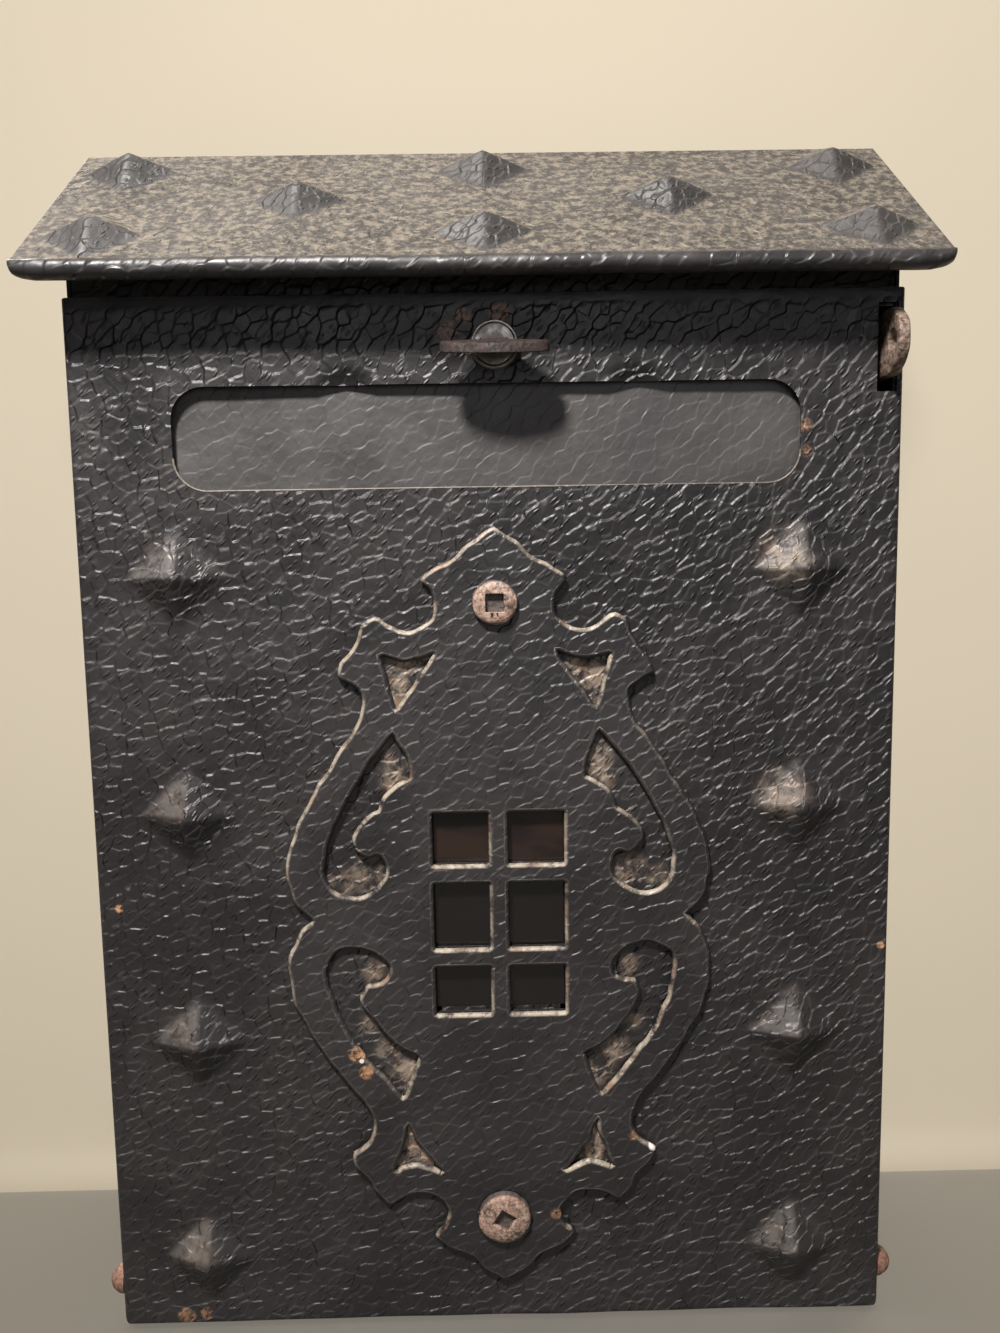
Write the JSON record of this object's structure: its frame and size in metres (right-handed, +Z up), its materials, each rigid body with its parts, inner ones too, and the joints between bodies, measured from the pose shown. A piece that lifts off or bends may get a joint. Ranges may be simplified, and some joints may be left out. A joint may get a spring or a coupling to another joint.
{
  "type": "wall mailbox",
  "caption": "Wall letterbox in hammered sheet steel: pitched roof, drop-down front door with pierced ornament plate and windows, letter slot with swinging flap, and a cam lock with a winged turn.",
  "frame": {"origin": "Centre of the bounding box's bottom face: midway between the sides and between the roof's front bead and the wall plate's back, on the plane that the box stands on.", "axes": "+X to the right as seen from in front, +Y from the door towards the wall, +Z up."},
  "size_m": [0.308, 0.0753, 0.4498],
  "materials": {
    "hammered_paint": "satin",
    "rusted_steel": "matte",
    "worn_zinc": "satin",
    "window_glass": "gloss"
  },
  "bodies": {
    "cabinet": {"body_shell": "hammered_paint", "body_floor": "hammered_paint", "front_rail": "hammered_paint", "roof": "hammered_paint", "padlock_staple": "rusted_steel", "staple_rivet_front": "rusted_steel", "staple_rivet_rear": "rusted_steel", "hinge_rivet_left": "rusted_steel", "hinge_rivet_right": "rusted_steel"},
    "door": {"front_door": "hammered_paint", "ornament_plate": "hammered_paint", "plate_screw_upper": "rusted_steel", "plate_screw_lower": "rusted_steel", "plate_nut_upper": "rusted_steel", "plate_nut_lower": "rusted_steel", "window_pane": "window_glass", "pane_clip_left": "hammered_paint", "pane_clip_right": "hammered_paint", "pane_clip_bottom": "hammered_paint", "flap_bracket_left": "hammered_paint", "flap_bracket_right": "hammered_paint", "flap_pin_left": "worn_zinc", "flap_pin_right": "worn_zinc", "lock_barrel": "worn_zinc", "lock_nut": "worn_zinc"},
    "flap": {"letter_flap": "hammered_paint"},
    "lock": {"lock_plug": "worn_zinc", "lock_wing": "rusted_steel", "lock_cam": "worn_zinc", "cam_screw": "worn_zinc"}
  },
  "joints": [
    {"name": "door_hinge", "type": "hinge", "parent": "cabinet", "child": "door", "pos_m": [0, -0.0115, 0.0165], "axis": [1, 0, 0], "range_deg": [0, 85]},
    {"name": "flap_hinge", "type": "hinge", "parent": "door", "child": "flap", "pos_m": [0, -0.0142, 0.3595], "axis": [1, 0, 0], "range_deg": [0, 75]},
    {"name": "lock_turn", "type": "hinge", "parent": "door", "child": "lock", "pos_m": [0.0028, -0.0178, 0.3644], "axis": [0, 1, 0], "range_deg": [0, 90]}
  ]
}
